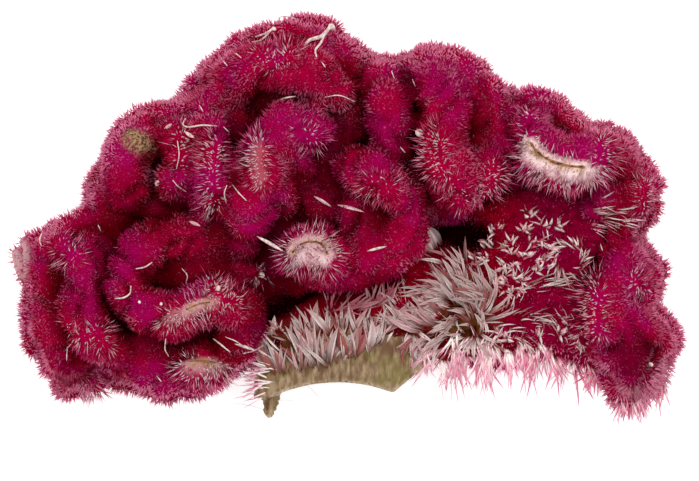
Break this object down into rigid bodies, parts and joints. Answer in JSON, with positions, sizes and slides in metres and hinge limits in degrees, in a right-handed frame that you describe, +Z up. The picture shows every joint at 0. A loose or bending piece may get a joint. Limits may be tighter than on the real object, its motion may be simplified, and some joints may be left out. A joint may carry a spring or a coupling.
{
  "type": "cockscomb celosia",
  "caption": "Cut cockscomb celosia flower head: folded velvety crimson crest, papery silver-pink florets on its flank and a short flattened stalk. Lies on a surface.",
  "frame": {"origin": "middle of the bounding box, on the surface that the head lies on", "axes": "+Z up, +Y from the cut stalk towards the crest, +X along the crest"},
  "size_m": [0.0776, 0.0476, 0.0285],
  "materials": {
    "crest": "velvety",
    "florets": "papery",
    "stalk": "matte"
  },
  "bodies": {
    "root": {"crest": "crest", "florets": "florets", "stalk": "stalk"}
  },
  "joints": []
}
